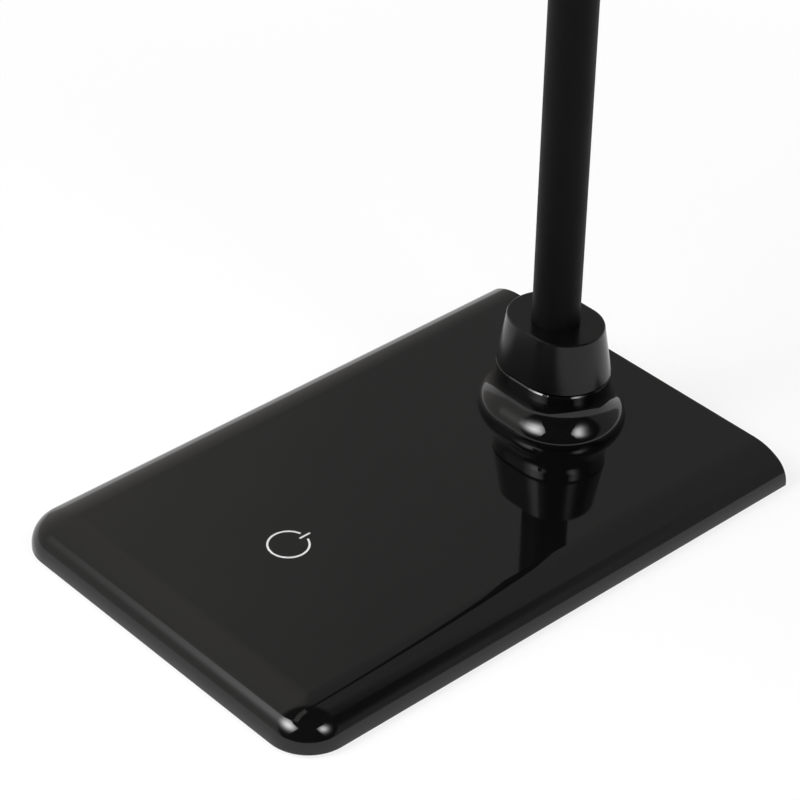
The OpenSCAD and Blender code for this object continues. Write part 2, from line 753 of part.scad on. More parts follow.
module reflector_sheet() color(WHITE) at_head() difference() {
    translate([-board_w / 2, head_mid - board_l / 2, board_z - 0.6]) cube([board_w, board_l, 0.6]);
    led_spots() translate([-led_size[0] / 2 - 0.2, -led_size[1] / 2 - 0.2, board_z - 2])
        cube([led_size[0] + 0.4, led_size[1] + 0.4, 4]);
    for (p = head_posts) translate([p[0], p[1], board_z - 2]) cylinder(h = 4, r = 2.2);
}

module leds() color("#f3e7a8") at_head() led_spots()
    translate([-led_size[0] / 2, -led_size[1] / 2, board_z - led_size[2]]) cube(led_size);

module board_outline(z, t) {
    difference() {
        translate([-board_w / 2, head_mid - board_l / 2, z]) cube([board_w, board_l, t]);
        for (p = head_posts) translate([p[0], p[1], z - cut])
            cylinder(h = t + 2 * cut, r = small_screw_r + gap);
    }
}

module led_board() color(WHITE) at_head() board_outline(board_z, board_t);

module heat_spreader() color(STEEL) at_head() board_outline(board_z + board_t, spreader_t);

module head_screws() color(STEEL) at_head() for (p = head_posts) translate([p[0], p[1], board_z]) {
    translate([0, 0, -0.9]) cylinder(h = 0.9, r = 1.9);
    translate([0, 0, -0.2]) cylinder(h = board_t + spreader_t + 1.6, r = small_screw_r);
}

module head_wiring() at_head() {
    end_y = head_boss_y - head_nipple_l - 1.2;
    wire_z = board_z + board_t + spreader_t + 0.9;
    // Hand-placed routes of the two cores from the cable's end to the led board
    for (side = [-1, 1]) color(side > 0 ? "#a02020" : "#202020") wire([
        [side * 0.9, end_y - 0.8, 0], [side * 1.5, end_y - 5, 0.6], [side * 3, end_y - 11, wire_z],
        [side * 4, head_mid + board_l / 2 - 8, wire_z], [side * 4, head_mid + board_l / 2 - 16, wire_z]
    ], 0.6);
}

foam_pad();
base_plate();
base_cover();
ballast_plate();
ballast_screws();
cover_screws();
touch_board();
touch_spring();
driver_board();
driver_parts();
board_screws();
dc_jack();
jack_pin();
base_wiring();
lower_fitting();
lower_washer();
lower_nut();
lower_grub_screws();
lower_collar();
neck_root();  // neck_link_0
neck_link(1);  // neck_link_1
neck_link(2);  // neck_link_2
neck_link(3);  // neck_link_3
neck_link(4);  // neck_link_4
neck_link(5);  // neck_link_5
neck_link(6);  // neck_link_6
neck_link(7);  // neck_link_7
neck_link(8);  // neck_link_8
neck_link(9);  // neck_link_9
neck_link(10);  // neck_link_10
neck_tip();  // neck_link_11
neck_sleeve();
neck_cable();
upper_fitting();
upper_washer();
upper_nut();
upper_grub_screws();
upper_collar();
head_cover();
head_frame();
diffuser();
reflector_sheet();
leds();
led_board();
heat_spreader();
head_screws();
head_wiring();
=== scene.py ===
"""Gooseneck desk lamp: finishes, sleeved neck, touch mark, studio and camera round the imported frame.

X runs across the lamp, the user sits on the -Y side and Z = 0 is the table.  Sizes held in the
classes below are in millimetres, and everything that reaches Blender is in metres.
"""
import logging
import math
from dataclasses import dataclass, field
from enum import Enum
from typing import Any

import bpy
from mathutils import Matrix, Vector


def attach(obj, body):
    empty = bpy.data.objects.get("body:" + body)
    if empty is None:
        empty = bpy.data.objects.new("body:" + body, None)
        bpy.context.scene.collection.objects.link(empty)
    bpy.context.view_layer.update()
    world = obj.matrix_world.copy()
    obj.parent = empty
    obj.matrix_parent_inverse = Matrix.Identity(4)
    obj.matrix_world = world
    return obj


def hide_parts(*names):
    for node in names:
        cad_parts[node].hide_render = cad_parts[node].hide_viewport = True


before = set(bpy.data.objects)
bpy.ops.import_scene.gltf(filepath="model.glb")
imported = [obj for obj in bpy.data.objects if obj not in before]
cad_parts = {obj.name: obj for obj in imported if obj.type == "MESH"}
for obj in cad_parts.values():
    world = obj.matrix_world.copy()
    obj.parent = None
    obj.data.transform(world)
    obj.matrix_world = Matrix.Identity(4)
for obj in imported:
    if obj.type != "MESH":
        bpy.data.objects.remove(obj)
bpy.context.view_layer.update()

MM = 0.001
LOG = logging.getLogger("desk_lamp")
# Vertices of a new piece that lie closer than this, in metres, are merged
MERGE_DISTANCE = 1e-6
# A noise runs from 0 to 1 but seldom leaves the middle, so these are where its patches begin and end
PATCH_COLOUR_FROM, PATCH_COLOUR_TO = 0.35, 0.65
PATCH_ROUGH_FROM, PATCH_ROUGH_TO = 0.3, 0.7
WHITE = (1, 1, 1, 1)


# --- colour and shader nodes ------------------------------------------------------


def linear(hex_code: str) -> tuple[float, float, float, float]:
    """Turns an sRGB hex colour into linear RGBA.

    Args:
        hex_code: Six hex digits, with or without a leading hash.

    Returns:
        Linear red, green, blue and an alpha of 1.
    """
    digits = hex_code.lstrip("#")
    # The transfer curve of sRGB, which is straight near black
    parts = [int(digits[i:i + 2], 16) / 255 for i in (0, 2, 4)]
    red, green, blue = [c / 12.92 if c <= 0.04045 else ((c + 0.055) / 1.055) ** 2.4 for c in parts]
    return red, green, blue, 1.0


def per_metre(size_mm: float) -> float:
    """Texture scale at which one feature of a pattern is size_mm wide."""
    return 1 / (size_mm * MM)


def add_node(
    tree: bpy.types.NodeTree,
    kind: str,
    settings: dict[str, Any] | None = None,
    inputs: dict[str | int, Any] | None = None,
    stops: list[tuple[float, tuple[float, float, float, float]]] | None = None,
) -> bpy.types.Node:
    """Adds one shader node with its settings and inputs.

    Args:
        tree: Node tree that the node joins.
        kind: Blender's name for the node type, such as ShaderNodeTexNoise.
        settings: Properties to set on the node itself.
        inputs: Input sockets by name or index; an output socket is linked, a value is set.
        stops: Position and linear RGBA of each stop of a colour ramp, in rising order.

    Returns:
        The new node.
    """
    node = tree.nodes.new(kind)
    for name, value in (settings or {}).items():
        setattr(node, name, value)
    for name, value in (inputs or {}).items():
        if isinstance(value, bpy.types.NodeSocket):
            tree.links.new(value, node.inputs[name])
        else:
            node.inputs[name].default_value = value
    for count, (position, colour) in enumerate(stops or []):
        points = node.color_ramp.elements
        point = points[count] if count < len(points) else points.new(position)
        point.position = position
        point.color = colour
    return node


class Turn(Enum):
    """Direction in which a worked surface carries its fine lines, as scales of its coordinates."""

    NONE = (1.0, 1.0, 1.0)
    ALONG_Y = (1.0, 0.03, 1.0)
    ROUND_Z = (0.05, 0.05, 1.0)
    ROUND_Y = (0.05, 1.0, 0.05)


@dataclass(frozen=True)
class Finish:
    """Base of every surface finish: a named Principled material with a pattern of its own.

    Attributes:
        name: Common name of the material and how its surface was made.
        colour: sRGB hex colour.
        shade: sRGB hex colour of the pattern's darker parts.
        roughness: Middle roughness.
        spread: How far the roughness varies to each side.
    """

    name: str
    colour: str
    shade: str
    roughness: float
    spread: float = 0.03

    def constants(self) -> dict[str, Any]:
        """Inputs that are the same all over the surface."""
        return {}

    def pattern(self, tree: bpy.types.NodeTree, place: bpy.types.NodeSocket) -> dict[str, Any]:
        """Inputs that vary over the surface.

        Args:
            tree: The material's node tree.
            place: Object coordinates.

        Returns:
            Sockets by the name of the shader input they feed.
        """
        raise NotImplementedError

    def blotches(
        self, tree: bpy.types.NodeTree, place: bpy.types.NodeSocket, size_mm: float
    ) -> dict[str, bpy.types.NodeSocket]:
        """Soft patches that vary colour and roughness a little.

        Args:
            tree: The material's node tree.
            place: Coordinates of the pattern.
            size_mm: Width of a patch.

        Returns:
            Sockets for the base colour and the roughness.
        """
        noise = add_node(
            tree, "ShaderNodeTexNoise",
            inputs={"Vector": place, "Scale": per_metre(size_mm), "Detail": 4.0, "Roughness": 0.6},
        )
        colour = add_node(
            tree, "ShaderNodeValToRGB", inputs={"Fac": noise.outputs["Fac"]},
            stops=[(PATCH_COLOUR_FROM, linear(self.shade)), (PATCH_COLOUR_TO, linear(self.colour))],
        )
        rough = add_node(
            tree, "ShaderNodeMapRange",
            inputs={
                "Value": noise.outputs["Fac"],
                "From Min": PATCH_ROUGH_FROM, "From Max": PATCH_ROUGH_TO,
                "To Min": self.roughness - self.spread, "To Max": self.roughness + self.spread,
            },
        )
        return {"Base Color": colour.outputs["Color"], "Roughness": rough.outputs["Result"]}

    def build(self) -> bpy.types.Material:
        """Makes the node material.

        Returns:
            The material, ready to be put on pieces.
        """
        material = bpy.data.materials.new(self.name)
        material.use_nodes = True
        tree = material.node_tree
        tree.nodes.clear()
        place = add_node(tree, "ShaderNodeTexCoord").outputs["Object"]
        shader = add_node(
            tree, "ShaderNodeBsdfPrincipled", inputs={**self.constants(), **self.pattern(tree, place)}
        )
        add_node(tree, "ShaderNodeOutputMaterial", inputs={"Surface": shader.outputs["BSDF"]})
        return material


@dataclass(frozen=True)
class GlossMoulding(Finish):
    """ABS moulded in a mirror-polished tool: deep black, with sharp and slightly wavy reflections.

    Attributes:
        wave_mm: Length of the moulded skin's waves.
        wave_depth_mm: Their depth.
        ior: Index of refraction.
        patch_mm: Width of a patch of haze.
    """

    wave_mm: float = 9.0
    wave_depth_mm: float = 0.0012
    ior: float = 1.45
    patch_mm: float = 24.0

    def constants(self) -> dict[str, Any]:
        """Inputs of bare polished plastic."""
        return {"IOR": self.ior}

    def pattern(self, tree: bpy.types.NodeTree, place: bpy.types.NodeSocket) -> dict[str, Any]:
        """Faint haze in patches and the long waves of a moulded skin."""
        waves = add_node(
            tree, "ShaderNodeTexNoise",
            inputs={"Vector": place, "Scale": per_metre(self.wave_mm), "Detail": 1.0},
        )
        skin = add_node(
            tree, "ShaderNodeBump",
            inputs={"Height": waves.outputs["Fac"], "Distance": self.wave_depth_mm * MM},
        )
        return {**self.blotches(tree, place, self.patch_mm), "Normal": skin.outputs["Normal"]}


@dataclass(frozen=True)
class TexturedSkin(Finish):
    """Skin with an even fine grain: spark-eroded mouldings, soft sleeves, foams, cast resin and ink.

    Attributes:
        grain_mm: Width of a grain.
        grain_depth_mm: Its depth.
        sheen: Strength of the soft edge light of dusty or open-celled skins.
        ior: Index of refraction.
        specular: Strength of the gloss, of which the grain's pits swallow part.
        sheen_roughness: Roughness of the edge light.
        grain_softness: How far neighbouring grains run into each other.
        patch_mm: Width of a patch.
    """

    grain_mm: float = 0.5
    grain_depth_mm: float = 0.02
    sheen: float = 0.0
    ior: float = 1.5
    specular: float = 0.5
    sheen_roughness: float = 0.4
    grain_softness: float = 0.6
    patch_mm: float = 16.0

    def constants(self) -> dict[str, Any]:
        """Inputs of a grained plastic, foam or ink."""
        return {
            "IOR": self.ior, "Specular IOR Level": self.specular,
            "Sheen Weight": self.sheen, "Sheen Roughness": self.sheen_roughness,
        }

    def pattern(self, tree: bpy.types.NodeTree, place: bpy.types.NodeSocket) -> dict[str, Any]:
        """Grain as rounded cells over soft patches."""
        cells = add_node(
            tree, "ShaderNodeTexVoronoi", {"feature": "SMOOTH_F1"},
            {
                "Vector": place, "Scale": per_metre(self.grain_mm),
                "Smoothness": self.grain_softness,
            },
        )
        grain = add_node(
            tree, "ShaderNodeBump",
            inputs={"Height": cells.outputs["Distance"], "Distance": self.grain_depth_mm * MM},
        )
        return {**self.blotches(tree, place, self.patch_mm), "Normal": grain.outputs["Normal"]}


@dataclass(frozen=True)
class WorkedMetal(Finish):
    """Bare or plated metal with the fine lines that turning or rolling leaves.

    Attributes:
        turn: Direction of the lines.
        line_mm: Width of a line.
        line_depth_mm: Its depth.
        patch_mm: Width of a patch.
    """

    turn: Turn = Turn.NONE
    line_mm: float = 0.25
    line_depth_mm: float = 0.004
    patch_mm: float = 5.0

    def constants(self) -> dict[str, Any]:
        """Inputs of a metal."""
        return {"Metallic": 1.0}

    def pattern(self, tree: bpy.types.NodeTree, place: bpy.types.NodeSocket) -> dict[str, Any]:
        """Lines drawn out along the working direction over soft patches."""
        stretched = add_node(
            tree, "ShaderNodeMapping", inputs={"Vector": place, "Scale": self.turn.value}
        ).outputs["Vector"]
        lines = add_node(
            tree, "ShaderNodeTexNoise",
            inputs={"Vector": stretched, "Scale": per_metre(self.line_mm), "Detail": 3.0},
        )
        scored = add_node(
            tree, "ShaderNodeBump",
            inputs={"Height": lines.outputs["Fac"], "Distance": self.line_depth_mm * MM},
        )
        return {**self.blotches(tree, place, self.patch_mm), "Normal": scored.outputs["Normal"]}


@dataclass(frozen=True)
class CircuitMask(Finish):
    """Circuit board under a lacquer mask: smooth, with copper tracks that stand out faintly.

    Attributes:
        track_mm: Distance between tracks.
        track_depth_mm: Height of a track under the mask.
        ior: Index of refraction of the mask.
        lacquer: Strength of the mask's clear gloss.
        lacquer_roughness: Roughness of that gloss.
        disorder: How far the tracks leave an even raster.
        track_edges: Where a track's colour ends and the bare mask begins, from 0 to 1.
        patch_mm: Width of a patch.
    """

    track_mm: float = 1.6
    track_depth_mm: float = 0.015
    ior: float = 1.5
    lacquer: float = 0.4
    lacquer_roughness: float = 0.15
    disorder: float = 0.4
    track_edges: tuple[float, float] = (0.28, 0.34)
    patch_mm: float = 8.0

    def constants(self) -> dict[str, Any]:
        """Inputs of a lacquered board."""
        return {
            "IOR": self.ior, "Coat Weight": self.lacquer, "Coat Roughness": self.lacquer_roughness,
        }

    def pattern(self, tree: bpy.types.NodeTree, place: bpy.types.NodeSocket) -> dict[str, Any]:
        """Square-cornered tracks from cells measured along the axes."""
        cells = add_node(
            tree, "ShaderNodeTexVoronoi", {"distance": "CHEBYCHEV", "feature": "F1"},
            {"Vector": place, "Scale": per_metre(self.track_mm), "Randomness": self.disorder},
        )
        inner, outer = self.track_edges
        tracks = add_node(
            tree, "ShaderNodeValToRGB", inputs={"Fac": cells.outputs["Distance"]},
            stops=[(inner, linear(self.colour)), (outer, linear(self.shade))],
        )
        raised = add_node(
            tree, "ShaderNodeBump",
            inputs={"Height": cells.outputs["Distance"], "Distance": self.track_depth_mm * MM},
        )
        return {
            **self.blotches(tree, place, self.patch_mm),
            "Base Color": tracks.outputs["Color"], "Normal": raised.outputs["Normal"],
        }


@dataclass(frozen=True)
class LightPlastic(Finish):
    """Milky acrylic or silicone resin that lets light through: even, soft and a little deep.

    Attributes:
        depth_mm: How far light goes in.
        frost_depth_mm: Depth of the frosting.
        ior: Index of refraction.
        milkiness: Share of the light that goes in and comes back out.
        scatter: How far red, green and blue go in, as shares of the depth.
        frost_mm: Width of a grain of the frosting.
        patch_mm: Width of a patch.
    """

    depth_mm: float = 1.5
    frost_depth_mm: float = 0.01
    ior: float = 1.49
    milkiness: float = 0.6
    scatter: tuple[float, float, float] = (1.0, 1.0, 0.9)
    frost_mm: float = 0.3
    patch_mm: float = 20.0

    def constants(self) -> dict[str, Any]:
        """Inputs of a milky plastic."""
        return {
            "IOR": self.ior, "Subsurface Weight": self.milkiness,
            "Subsurface Scale": self.depth_mm * MM, "Subsurface Radius": self.scatter,
        }

    def pattern(self, tree: bpy.types.NodeTree, place: bpy.types.NodeSocket) -> dict[str, Any]:
        """Fine frosting over very soft patches."""
        frost = add_node(
            tree, "ShaderNodeTexNoise",
            inputs={"Vector": place, "Scale": per_metre(self.frost_mm), "Detail": 2.0},
        )
        frosted = add_node(
            tree, "ShaderNodeBump",
            inputs={"Height": frost.outputs["Fac"], "Distance": self.frost_depth_mm * MM},
        )
        return {**self.blotches(tree, place, self.patch_mm), "Normal": frosted.outputs["Normal"]}


# Each finish is given to the CAD nodes that carry its slot name
FINISHES: dict[str, Finish] = {
    # Piano-black ABS: mirror gloss, the black itself is nearly as deep as it goes
    "gloss_black": GlossMoulding(
        "abs_black_mirror_moulded", "#0a0a0a", "#080808", roughness=0.045, spread=0.015,
    ),
    # Black ABS from a spark-eroded tool: no reflections, a fine even grain
    "matt_black": TexturedSkin(
        "abs_black_spark_eroded", "#1b1b1c", "#161617", roughness=0.62, spread=0.05,
        grain_mm=0.45, grain_depth_mm=0.03,
    ),
    # Closed-cell EVA foam, split: dull, with small open cells
    "foam": TexturedSkin(
        "eva_foam_split", "#141415", "#0e0e0f", roughness=0.9, spread=0.04,
        grain_mm=0.9, grain_depth_mm=0.25, sheen=0.1,
    ),
    # Silicone sleeve, extruded and dusted: deep matt black, the rim catches the light
    "sleeve": TexturedSkin(
        "silicone_sleeve_extruded", "#0b0b0c", "#090909", roughness=0.55, spread=0.05,
        grain_mm=0.35, grain_depth_mm=0.012, sheen=0.03, ior=1.43, specular=0.1,
    ),
    # PVC cable jacket, extruded: satin
    "cable_jacket": TexturedSkin(
        "pvc_jacket_extruded", "#2a2a2c", "#232325", roughness=0.45, spread=0.05,
        grain_mm=0.6, grain_depth_mm=0.01,
    ),
    # Zinc-plated free-cutting steel, turned: bright, with rings round the axis
    "zinc_steel": WorkedMetal(
        "steel_turned_zinc_plated", "#b9bbbf", "#a3a6ab", roughness=0.3, spread=0.08,
        turn=Turn.ROUND_Z, line_mm=0.3,
    ),
    # Mild steel plate, sheared from pickled strip: dull grey, rolling lines along its length
    "ballast_steel": WorkedMetal(
        "steel_plate_pickled", "#85868a", "#6d6e73", roughness=0.48, spread=0.1,
        turn=Turn.ALONG_Y, line_mm=0.4,
    ),
    # Alloy steel, black oxide: nearly black metal
    "dark_steel": WorkedMetal(
        "steel_black_oxide", "#3a3b40", "#2c2d31", roughness=0.4, spread=0.08,
        turn=Turn.NONE, line_mm=0.2,
    ),
    # Brass, turned: warm yellow, fine rings
    "brass": WorkedMetal(
        "brass_turned", "#c7a765", "#ae8c4c", roughness=0.28, spread=0.08,
        turn=Turn.ROUND_Y, line_mm=0.25,
    ),
    # FR4 with green mask: satin, with the tracks a lighter green
    "circuit_green": CircuitMask(
        "fr4_green_mask", "#17603a", "#1f7a4a", roughness=0.3, spread=0.05,
    ),
    # Epoxy-moulded component bodies: dark and faintly mottled
    "component_black": TexturedSkin(
        "epoxy_moulded_black", "#2b2b2c", "#222223", roughness=0.55, spread=0.08,
        grain_mm=0.3, grain_depth_mm=0.02,
    ),
    # PVC wire insulation, extruded: satin and smooth
    "wire_insulation": TexturedSkin(
        "pvc_insulation_extruded", "#8c2b26", "#742320", roughness=0.4, spread=0.05,
        grain_mm=0.5, grain_depth_mm=0.005,
    ),
    # Opal acrylic, cast: milky white with a frosted face
    "opal": LightPlastic("pmma_opal_frosted", "#f1f0ec", "#ebeae5", roughness=0.42, spread=0.04),
    # Microcellular PET sheet: flat matt white
    "white_reflector": TexturedSkin(
        "pet_reflector_sheet", "#f3f3f0", "#ecece8", roughness=0.7, spread=0.05,
        grain_mm=0.2, grain_depth_mm=0.005,
    ),
    # Phosphor-filled silicone: warm yellow dome
    "led_resin": LightPlastic(
        "silicone_phosphor", "#f0dd83", "#e6cf6c", roughness=0.35, spread=0.05, depth_mm=0.4,
    ),
    # Aluminium board with white mask: white, lacquered
    "board_aluminium": CircuitMask(
        "aluminium_board_white_mask", "#efefec", "#e2e2de", roughness=0.35, spread=0.05,
        track_mm=3.0,
    ),
    # Rolled aluminium sheet: light grey metal, lines along its length
    "aluminium": WorkedMetal(
        "aluminium_rolled", "#cfd1d4", "#bec1c5", roughness=0.32, spread=0.08,
        turn=Turn.ALONG_Y, line_mm=0.3,
    ),
}
# Painted ABS: the same black with a satin skin, in which reflections have soft edges
COLLAR_FINISH = GlossMoulding(
    "abs_black_satin_painted", "#0a0a0a", "#080808", roughness=0.2, spread=0.02, ior=1.38,
)
COLLAR_NODES = ("lower_collar", "upper_collar")
# White two-part ink, pad printed: flat and opaque
PRINT_FINISH = TexturedSkin(
    "ink_white_pad_printed", "#d6d6d6", "#cecece", roughness=0.5, spread=0.04,
    grain_mm=0.2, grain_depth_mm=0.002,
)


@dataclass
class FinishSet:
    """Builds each finish once and puts it on pieces.

    Attributes:
        built: The materials made so far, by the name of their finish.
    """

    built: dict[str, bpy.types.Material] = field(default_factory=dict)

    def get(self, finish: Finish) -> bpy.types.Material:
        """Gives the material of a finish, and builds it the first time.

        Args:
            finish: The finish.

        Returns:
            Its material.
        """
        if finish.name not in self.built:
            self.built[finish.name] = finish.build()
        return self.built[finish.name]

    def dress_nodes(self) -> None:
        """Gives every CAD node the finish of its material slot, and the collars their own."""
        for name, node in sorted(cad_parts.items()):
            for slot in node.material_slots:
                finish = COLLAR_FINISH if name in COLLAR_NODES else FINISHES[slot.material.name]
                slot.material = self.get(finish)
                LOG.info("%s: %s", name, finish.name)

    def dress(self, piece: bpy.types.Object, finish: Finish) -> None:
        """Gives a new piece one finish all over."""
        piece.data.materials.clear()
        piece.data.materials.append(self.get(finish))


# --- modelling helpers ------------------------------------------------------------


def start_piece(name: str) -> bpy.types.Object:
    """Names the primitive that was just added and enters edit mode with all of it selected.

    Args:
        name: The piece's name.

    Returns:
        The active object.
    """
    piece = bpy.context.active_object
    piece.name = name
    piece.data.name = name
    bpy.ops.object.mode_set(mode="EDIT")
    bpy.ops.mesh.select_all(action="SELECT")
    return piece


def end_piece(piece: bpy.types.Object, smooth_degrees: float) -> bpy.types.Object:
    """Leaves edit mode, puts the piece's place into its mesh and smooths its shading.

    Args:
        piece: The active object.
        smooth_degrees: Edges below this angle are shaded smooth.

    Returns:
        The same object.
    """
    bpy.ops.object.mode_set(mode="OBJECT")
    bpy.ops.object.transform_apply(location=True, rotation=True, scale=True)
    bpy.ops.object.shade_smooth_by_angle(angle=math.radians(smooth_degrees))
    return piece


def apply_modifier(piece: bpy.types.Object, kind: str, settings: dict[str, Any]) -> None:
    """Adds a modifier to the active piece and applies it.

    Args:
        piece: The active object.
        kind: Blender's modifier type.
        settings: Properties of the modifier.
    """
    modifier = piece.modifiers.new(kind.title(), kind)
    for name, value in settings.items():
        setattr(modifier, name, value)
    bpy.ops.object.modifier_apply(modifier=modifier.name)


# --- neck -------------------------------------------------------------------------


@dataclass
class NeckLine:
    """Centre line of the neck, measured by its length s: upright, a quarter circle, then level.

    Attributes:
        axis_y: Distance of the upright behind the middle of the base.
        bend_start: Length at which the bend starts, which is its height above the table.
        bend_radius: Radius of the bend.
        first_joint: Length at the first joint.
        straight_pitch: Distance between the joints of the upright.
        straight_joints: Number of joints in the upright.
        bend_joints: Number of joints round the bend, the last of them at its end.
    """

    axis_y: float = 65.6
    bend_start: float = 249.0
    bend_radius: float = 86.0
    first_joint: float = 64.0
    straight_pitch: float = 37.0
    straight_joints: int = 6
    bend_joints: int = 5

    @property
    def bend_end(self) -> float:
        """Length at which the bend ends."""
        return self.bend_start + self.bend_radius * math.pi / 2

    def joint(self, k: int) -> float:
        """Length at a joint.

        Args:
            k: The joint's number, counted from 1 at the base.

        Returns:
            The length along the neck.
        """
        if k <= self.straight_joints:
            return self.first_joint + self.straight_pitch * (k - 1)
        bent = self.bend_end - self.bend_start
        return self.bend_start + bent * (k - self.straight_joints) / self.bend_joints

    def turn(self, s: float) -> float:
        """Angle turned towards the head at length s, in radians."""
        return min(max(s - self.bend_start, 0), self.bend_end - self.bend_start) / self.bend_radius

    def point(self, s: float) -> Vector:
        """Point of the centre line.

        Args:
            s: Length along the neck.

        Returns:
            The point, in metres.
        """
        angle = self.turn(s)
        past = max(s - self.bend_end, 0)
        y = self.axis_y - self.bend_radius * (1 - math.cos(angle)) - past
        z = min(s, self.bend_start) + self.bend_radius * math.sin(angle)
        return Vector((0, y, z)) * MM

    def direction(self, s: float) -> Vector:
        """Unit vector along the neck at length s."""
        angle = self.turn(s)
        return Vector((0, -math.sin(angle), math.cos(angle)))

    @property
    def bend_centre(self) -> Vector:
        """Centre of the quarter circle, in metres."""
        return Vector((0, self.axis_y - self.bend_radius, self.bend_start)) * MM


@dataclass
class NeckTubes:
    """Tube along the neck in lengths, one to a link, each with a round rim on which the next turns.

    Attributes:
        line: The neck's centre line.
        node: CAD node that the lengths replace.
        slot: Material slot of that node.
        radius: Outer radius.
        wall: Thickness of the wall.
        start: Length along the neck at which the tube starts.
        past_bend: How far the tube goes on past the end of the bend.
        sides: Number of sides of the round.
        ring_step: Distance between rings of faces.
        rim_degrees: How far the rim goes on over its ball, which is more than a joint turns.
        rim_steps: Number of rings in the rim.
        smooth_degrees: Edges below this angle are shaded smooth.
        pieces: The lengths, from the base to the head.
    """

    line: NeckLine
    node: str
    slot: str
    radius: float
    wall: float
    start: float
    past_bend: float
    sides: int = 72
    ring_step: float = 1.5
    rim_degrees: float = 20.0
    rim_steps: int = 8
    smooth_degrees: float = 40.0
    pieces: list[bpy.types.Object] = field(default_factory=list)

    @property
    def finish(self) -> float:
        """Length along the neck at which the tube ends."""
        return self.line.bend_end + self.past_bend

    def run(self, name: str, low: float, high: float) -> bpy.types.Object:
        """Models one hollow tube piece, which lies all on the bend or all off it.

        Args:
            name: The piece's name.
            low: Length at which it starts.
            high: Length at which it ends.

        Returns:
            The piece, at the origin, with its wall.
        """
        line = self.line
        bpy.ops.object.select_all(action="DESELECT")
        bpy.ops.mesh.primitive_circle_add(
            vertices=self.sides, radius=self.radius * MM, fill_type="NOTHING",
            location=line.point(low), rotation=(line.turn(low), 0, 0),
        )
        piece = start_piece(name)
        if line.bend_start < (low + high) / 2 < line.bend_end:
            self.spin(low, high)
        else:
            self.extrude(low, high)
        if high < self.finish:
            self.add_rim(high)
        bpy.ops.mesh.select_all(action="SELECT")
        bpy.ops.mesh.remove_doubles(threshold=MERGE_DISTANCE)
        bpy.ops.mesh.normals_make_consistent(inside=False)
        bpy.ops.object.mode_set(mode="OBJECT")
        apply_modifier(piece, "SOLIDIFY", {
            "thickness": self.wall * MM, "offset": -1.0, "use_rim": True, "use_even_offset": True,
        })
        return end_piece(piece, self.smooth_degrees)

    def steps(self, low: float, high: float) -> int:
        """Number of rings of faces between two lengths."""
        return max(1, round((high - low) / self.ring_step))

    def extrude(self, low: float, high: float) -> None:
        """Extrudes the selected ring straight on.

        Args:
            low: Length at which the ring is.
            high: Length to which it goes.
        """
        steps = self.steps(low, high)
        move = self.line.direction(low) * ((high - low) * MM / steps)
        for _ in range(steps):
            bpy.ops.mesh.extrude_region_move(TRANSFORM_OT_translate={"value": move})

    def spin(self, low: float, high: float) -> None:
        """Spins the selected ring round the bend from length low to length high."""
        bpy.ops.mesh.spin(
            steps=self.steps(low, high), angle=-(high - low) / self.line.bend_radius,
            center=self.line.bend_centre, axis=(1, 0, 0),
        )

    def add_rim(self, s: float) -> None:
        """Draws the selected ring on over a ball about a joint, inside the next piece.

        Args:
            s: Length at the joint.
        """
        step = math.radians(self.rim_degrees) / self.rim_steps
        radius = self.radius * MM
        for count in range(self.rim_steps):
            near, far = count * step, (count + 1) * step
            rise = self.line.direction(s) * radius * (math.sin(far) - math.sin(near))
            middle = self.line.point(s) + self.line.direction(s) * radius * math.sin(far)
            bpy.ops.mesh.extrude_region_move(TRANSFORM_OT_translate={"value": rise})
            shrink = math.cos(far) / math.cos(near)
            bpy.ops.transform.resize(value=(shrink,) * 3, center_override=middle)

    def build(self) -> list[bpy.types.Object]:
        """Models every piece and lets it ride on its link's body.

        Returns:
            The pieces from the base to the head.
        """
        count = self.line.straight_joints + self.line.bend_joints
        bodies = ["base"] + [f"neck_{k}" for k in range(1, count)] + ["head"]
        ends = [self.start] + [self.line.joint(k) for k in range(1, count + 1)] + [self.finish]
        for k, body in enumerate(bodies):
            piece = self.run(f"{self.node}_{k}", ends[k], ends[k + 1])
            self.pieces.append(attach(piece, body))
        return self.pieces

    def dress(self, finishes: FinishSet) -> None:
        """Gives every piece the finish of its slot."""
        for piece in self.pieces:
            finishes.dress(piece, FINISHES[self.slot])
            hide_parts(self.node)
            LOG.info("%s: %d faces", piece.name, len(piece.data.polygons))


# --- touch mark -------------------------------------------------------------------


